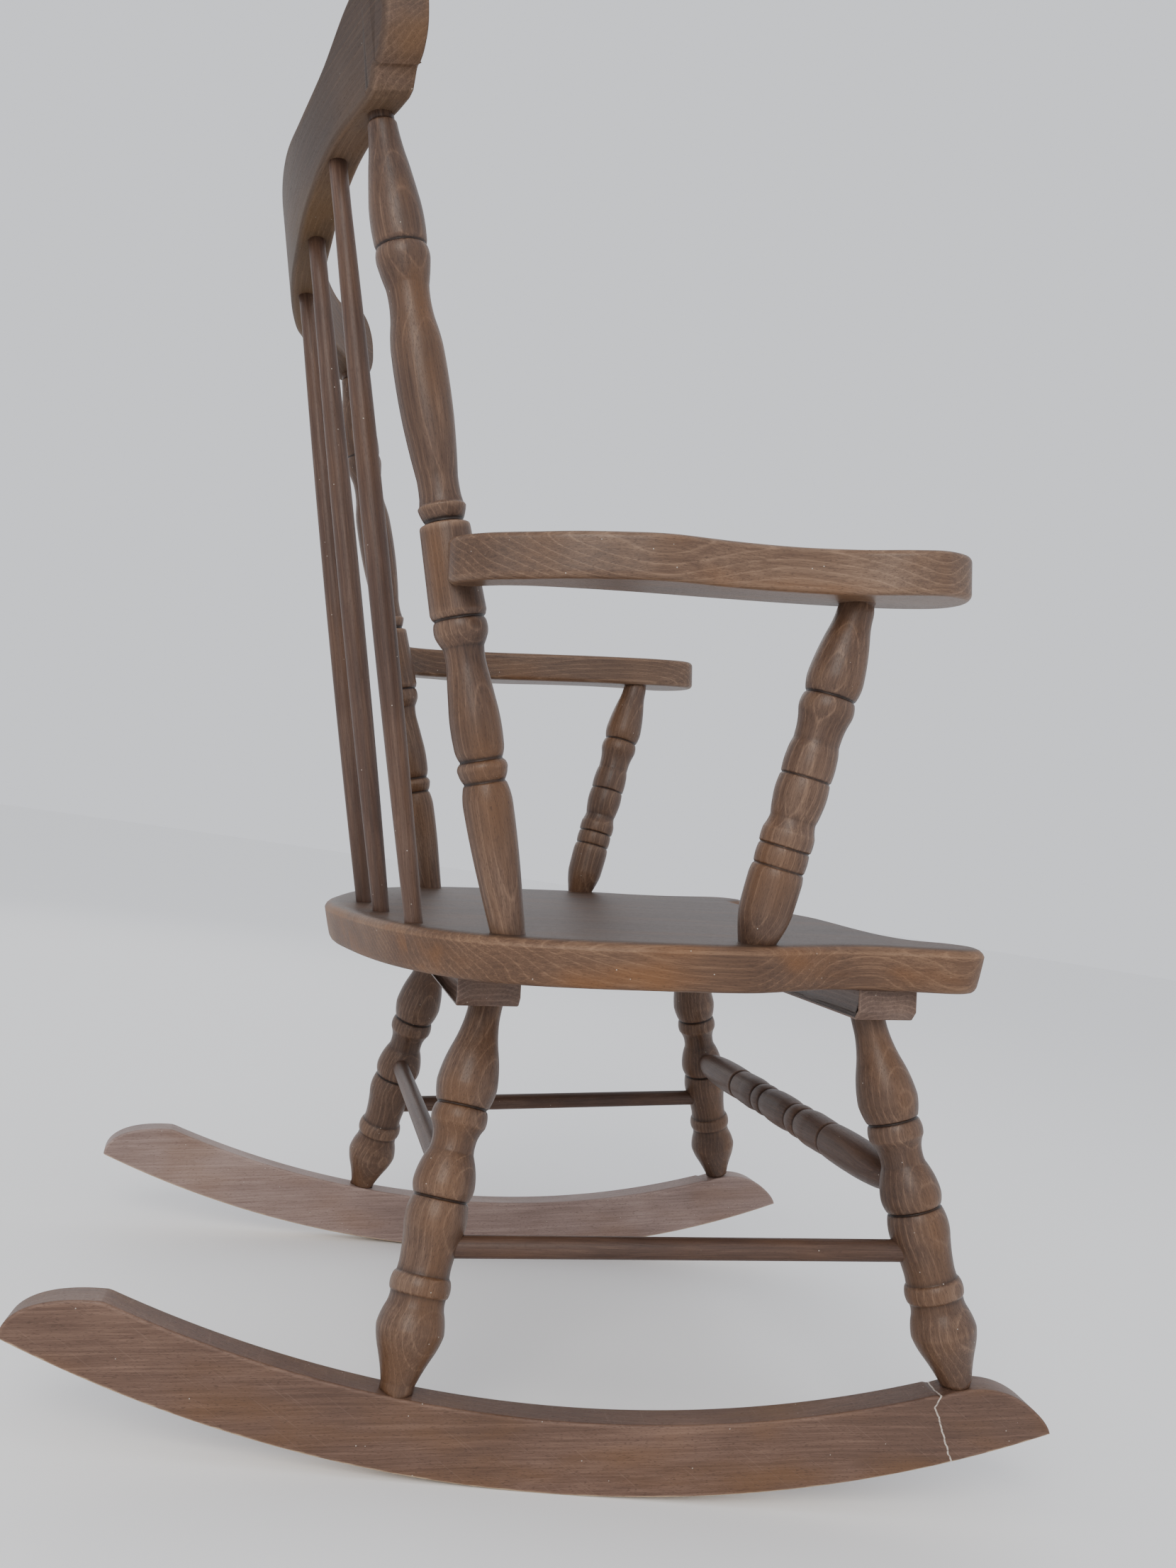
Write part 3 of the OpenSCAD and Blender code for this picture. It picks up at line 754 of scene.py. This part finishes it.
rocker_right_wood = wood(
    "rocker_right_wood", colour(60, 42, 34), colour(93, 70, 58), colour(127, 100, 85),
    colour(106, 74, 44), ring=6.0, rings=0.3, fibres=0.7, flecks=1.0, warmth=0.5,
    roughness=0.48, coat=0.1, extra=right_rocker_marks)
rocker_left_wood = wood(
    "rocker_left_wood", colour(92, 73, 67), colour(136, 115, 107), colour(168, 147, 138),
    colour(120, 88, 62), ring=6.0, rings=0.3, fibres=0.7, flecks=1.0, warmth=0.3,
    roughness=0.48, coat=0.1, extra=left_rocker_marks)


# ---------------------------------------------------------------- seat and battens

def make_seat():
    other = [(x, -y) for x, y in reversed(SEAT_HALF[1:-1])]
    outline = smooth_ring(list(SEAT_HALF) + other, 12)
    # third column: wear and painted highlight of the edges
    rings = [
        (12, 0, 0), (10, 0, 0), (7.6, 0.6, 0.2), (5.8, 2, 0.3), (4.6, 4, 0.2), (4.2, 5, 0.1),
        (2.6, 12, 0), (1.0, 20, 0), (0.15, 24.6, 0.1), (0, 25.3, 0.5), (0.12, 25.75, 0.6),
        (1.2, 27.8, 0.3), (3.2, 29.6, 0.2), (6, 30.6, 0.1), (10, 31, 0), (12, 31, 0)]
    bm = board(outline, rings)
    make_piece(
        "seat", seat_wood, bm,
        lambda c: (c[0], c[1], SEAT_TOP - SEAT_T + c[2]),
        lambda c: (c[1], c[2], c[0]), pith=(160, 20))


def make_batten(node, x, half):
    cut = BATTEN_CORNER
    outline = soften([
        (-half, BATTEN_T), (-half, cut), (-half + cut, 0),
        (half - cut, 0), (half, cut), (half, BATTEN_T)], 1.6)
    edge = round_edge(BATTEN_EDGE, 4)
    bm = board(outline, board_rings(BATTEN_W, edge, edge, 0.4))
    under = SEAT_TOP - SEAT_T - BATTEN_T
    make_piece(
        node, batten_wood, bm,
        lambda c: (x - BATTEN_W / 2 + c[2], c[0], under + c[1]),
        lambda c: (c[2], c[1], c[0]), pith=(40, 10))


# ---------------------------------------------------------------- legs and stretchers

def into_rocker(bm, matrix):
    """Narrows the foot of a leg where it goes down into its rocker."""
    for v in bm.verts:
        if v.co.z < 200:
            continue
        p = matrix @ v.co
        s = p.x * math.cos(SPLAY) + (p.y - FOOT_Y) * math.sin(SPLAY)
        deep = math.hypot(s - ROCKING_S, p.z - ROCKING_Z) - (ROCKER_R - ROCKER_H)
        if deep > 0:
            narrow = max(0.5, 1 - 0.16 * deep)
            v.co.x *= narrow
            v.co.y *= narrow


def make_leg(node, line, mirror):
    matrix = along(line)
    bm = turned(lathe_profile(LEG_TURNING))
    length = (Vector(line[1]) - Vector(line[0])).length
    for v in list(bm.verts):
        v.co.z = min(v.co.z, length + 6)
    bmesh.ops.remove_doubles(bm, verts=bm.verts[:], dist=0.0001)
    into_rocker(bm, matrix)
    make_piece(node, turned_wood, bm, lambda c: matrix @ c, lambda c: c, mirror)


def plain_profile(length, radius, first=0.0, last=0.0, swell=0.0):
    z = np.linspace(first, length - last, 41)
    s = (z - first) / (length - last - first)
    r = radius + swell * 4 * s * (1 - s)
    return z, r, np.zeros(len(z))


def make_rod(node, line, mirror=False):
    matrix = along(line)
    length = (Vector(line[1]) - Vector(line[0])).length
    bm = turned(plain_profile(length, STRETCHER_R, 5, 5), 48)
    make_piece(node, slender_wood, bm, lambda c: matrix @ c, lambda c: c, mirror)


def make_front_stretcher(line):
    middle = between(line[0], line[1], 0.5)
    matrix = along((middle, line[1]))
    z, r, w = lathe_profile(FRONT_TURNING)
    profile = (np.r_[-z[:0:-1], z], np.r_[r[:0:-1], r], np.r_[w[:0:-1], w])
    make_piece(
        "stretcher_front", slender_wood, turned(profile, 64),
        lambda c: matrix @ c, lambda c: c)


# ---------------------------------------------------------------- rockers

def onto_arcs(points):
    """Holds points between the two edges of the rocker."""
    out = []
    for s, z in points:
        dx = s - ROCKING_S
        dz = z - ROCKING_Z
        r = math.hypot(dx, dz)
        k = min(max(r, ROCKER_R - ROCKER_H), ROCKER_R) / r
        out.append((ROCKING_S + dx * k, ROCKING_Z + dz * k))
    return out


def arc(radius, a, b, step=3.0):
    """Points on an edge of the rocker between two of its points, without them."""
    first = math.atan2(a[1] - ROCKING_Z, a[0] - ROCKING_S)
    last = math.atan2(b[1] - ROCKING_Z, b[0] - ROCKING_S)
    n = max(2, int(abs(last - first) * radius / step))
    out = []
    for i in range(1, n):
        angle = first + (last - first) * i / n
        out.append((ROCKING_S + radius * math.cos(angle), ROCKING_Z + radius * math.sin(angle)))
    return out


def make_rocker(node, material, mirror):
    tail = onto_arcs(cubic(ROCKER_TAIL, 24))
    nose = onto_arcs(cubic(ROCKER_NOSE, 24))
    tip = onto_arcs(cubic(ROCKER_TIP, 16))
    outline = list(tail)
    outline += arc(ROCKER_R, tail[-1], tip[-1])
    outline += reversed(tip)
    outline += reversed(nose[:-1])
    outline += arc(ROCKER_R - ROCKER_H, nose[0], tail[0])
    outline = [p for p, q in zip(outline, outline[1:] + outline[:1]) if math.dist(p, q) > 0.05]
    edge = round_edge(ROCKER_EDGE, 4)
    bm = board(soften(outline, 5), board_rings(ROCKER_T, edge, edge, 0.3))

    def to_bench(c):
        side = c[2] - ROCKER_T / 2
        return (
            c[0] * math.cos(SPLAY) - side * math.sin(SPLAY),
            FOOT_Y + c[0] * math.sin(SPLAY) + side * math.cos(SPLAY),
            c[1])

    make_piece(
        node, material, bm, to_bench,
        lambda c: (c[1], c[2], c[0]), mirror, pith=(140, 60))


# ---------------------------------------------------------------- back

def make_back_post(node, mirror):
    matrix = along(BACK_POST)
    make_piece(
        node, turned_wood, turned(lathe_profile(BACK_POST_TURNING)),
        lambda c: matrix @ c, lambda c: c, mirror)


def make_spindle(number, spindle):
    foot = (spindle[1], spindle[0], SEAT_TOP)
    matrix = along((foot, spindle[2]))
    length = (Vector(spindle[2]) - Vector(foot)).length
    middle = plain_profile(length, SPINDLE_END_R, 4, 30, SPINDLE_SWELL)
    z = np.r_[-SPINDLE_SOCKET, middle[0], length + SPINDLE_SOCKET]
    r = np.r_[SPINDLE_END_R, middle[1], SPINDLE_END_R]
    bm = turned((z, r, np.zeros(len(z))), 48)
    make_piece(
        f"spindle_{number}", slender_wood, bm,
        lambda c: matrix @ c, lambda c: c)


def make_crest_rail():
    lower_left = [(-y, v) for y, v in reversed(CREST_LOWER[1:])]
    upper_left = [(-y, v) for y, v in CREST_UPPER[1:]]
    lower = smooth_row(lower_left + list(CREST_LOWER), 6)
    upper = smooth_row(list(reversed(CREST_UPPER)) + upper_left, 8)
    ear_left = [(-y, v) for y, v in reversed(CREST_EAR)]
    outline = list(map(tuple, lower)) + list(CREST_EAR) + list(map(tuple, upper)) + ear_left
    edge = round_edge(CREST_EDGE, 6)
    bm = board(soften(outline, 3), board_rings(CREST_T, edge, edge, 0.35), strips=9.0)

    def to_bench(c):
        bow = CREST_BOW + c[2] - CREST_T / 2
        x = CREST_BOW - math.sqrt(bow * bow - c[0] * c[0])
        return (
            x * math.cos(CREST_LEAN) - c[1] * math.sin(CREST_LEAN) + CREST_FOOT[0],
            c[0],
            x * math.sin(CREST_LEAN) + c[1] * math.cos(CREST_LEAN) + CREST_FOOT[2])

    make_piece(
        "crest_rail", crest_wood, bm, to_bench,
        lambda c: (c[1], c[2], c[0]), pith=(110, 40))


# ---------------------------------------------------------------- arms

def make_arm_post(node, mirror):
    matrix = along(ARM_POST)
    make_piece(
        node, turned_wood, turned(lathe_profile(ARM_POST_TURNING)),
        lambda c: matrix @ c, lambda c: c, mirror)


def make_arm(node, mirror):
    outline = smooth_ring(ARM_OUTLINE, 10)
    edge = round_edge(ARM_EDGE, 6)
    bm = board(outline, board_rings(ARM_T, edge, edge, 0.3))

    def to_bench(c):
        x = c[0] - ARM_PIVOT_X
        z = c[2] - ARM_T
        return (
            ARM_PIVOT_X + x * math.cos(ARM_SLOPE) - z * math.sin(ARM_SLOPE),
            c[1] - ARM_TRIM,
            ARM_TOP + x * math.sin(ARM_SLOPE) + z * math.cos(ARM_SLOPE))

    make_piece(
        node, board_wood, bm, to_bench,
        lambda c: (c[1], c[2], c[0]), mirror, pith=(210, 20))


# ---------------------------------------------------------------- the chair

make_seat()
make_batten("seat_batten_rear", *REAR_BATTEN)
make_batten("seat_batten_front", *FRONT_BATTEN)

rear_cross = between(REAR_LEG[0], REAR_LEG[1], CROSS_PLACE)
front_cross = between(FRONT_LEG[0], FRONT_LEG[1], CROSS_PLACE)
side_line = (
    between(REAR_LEG[0], REAR_LEG[1], SIDE_PLACE),
    between(FRONT_LEG[0], FRONT_LEG[1], SIDE_PLACE))
make_rod("stretcher_rear", (other_side(rear_cross), rear_cross))
make_front_stretcher((other_side(front_cross), front_cross))

for side, mirrored in (("right", True), ("left", False)):
    make_leg("leg_rear_" + side, REAR_LEG, mirrored)
    make_leg("leg_front_" + side, FRONT_LEG, mirrored)
    make_rod("stretcher_side_" + side, side_line, mirrored)
    make_back_post("back_post_" + side, mirrored)
    make_arm_post("arm_post_" + side, mirrored)
    make_arm("arm_" + side, mirrored)
make_rocker("rocker_right", rocker_right_wood, True)
make_rocker("rocker_left", rocker_left_wood, False)
for number, spindle in enumerate(SPINDLES, 1):
    make_spindle(number, spindle)
make_crest_rail()


# ---------------------------------------------------------------- floor, light and camera

FLOOR_RADIUS = 14.0
WORLD_STRENGTH = 1.0


def make_floor():
    bm = bmesh.new()
    bmesh.ops.create_circle(bm, cap_ends=True, segments=96, radius=FLOOR_RADIUS)
    mesh = bpy.data.meshes.new("floor")
    bm.to_mesh(mesh)
    bm.free()
    g = Graph("floor_paint")
    shader = g.tree.nodes.new("ShaderNodeBsdfPrincipled")
    shader.inputs["Base Color"].default_value = (0.93, 0.93, 0.93, 1)
    shader.inputs["Roughness"].default_value = 0.8
    out = g.tree.nodes.new("ShaderNodeOutputMaterial")
    g.put(out.inputs["Surface"], shader.outputs[0])
    mesh.materials.append(g.material)
    floor = bpy.data.objects.new("floor", mesh)
    bpy.context.scene.collection.objects.link(floor)


def make_light(name, at, aim, size, power, tint):
    data = bpy.data.lights.new(name, "AREA")
    data.shape = "DISK"
    data.size = size
    data.energy = power
    data.color = tint
    lamp = bpy.data.objects.new(name, data)
    lamp.location = at
    lamp.rotation_euler = (Vector(aim) - Vector(at)).to_track_quat("-Z", "Y").to_euler()
    bpy.context.scene.collection.objects.link(lamp)


def make_world():
    world = bpy.data.worlds.new("studio")
    world.use_nodes = True
    background = world.node_tree.nodes["Background"]
    background.inputs["Color"].default_value = (0.93, 0.95, 1.0, 1)
    background.inputs["Strength"].default_value = WORLD_STRENGTH
    bpy.context.scene.world = world


def make_camera():
    data = bpy.data.cameras.new("camera")
    data.sensor_fit = "AUTO"
    data.sensor_width = 36
    data.lens = CAMERA_LENS
    data.clip_start = 0.02
    data.clip_end = 60
    az = math.radians(CAMERA_AZIMUTH)
    el = math.radians(CAMERA_ELEVATION)
    ahead = Vector((math.sin(az) * math.cos(el), math.cos(az) * math.cos(el), math.sin(el)))
    level = ahead.to_track_quat("-Z", "Y").to_matrix().to_4x4()
    roll = Matrix.Rotation(math.radians(CAMERA_ROLL), 4, "Z")
    camera = bpy.data.objects.new("camera", data)
    camera.matrix_world = Matrix.Translation(CAMERA_AT) @ level @ roll
    bpy.context.scene.collection.objects.link(camera)
    bpy.context.scene.camera = camera


make_floor()
make_world()
make_light("key", (-0.9, -2.4, 1.7), (0.0, 0.0, 0.4), 1.6, 42, (1.0, 0.97, 0.92))
make_light("fill", (2.4, -1.6, 1.2), (0.0, 0.0, 0.4), 2.0, 5, (0.95, 0.97, 1.0))
make_light("back", (-0.8, 2.6, 1.8), (0.0, 0.0, 0.5), 2.0, 8, (1.0, 0.98, 0.95))
make_camera()
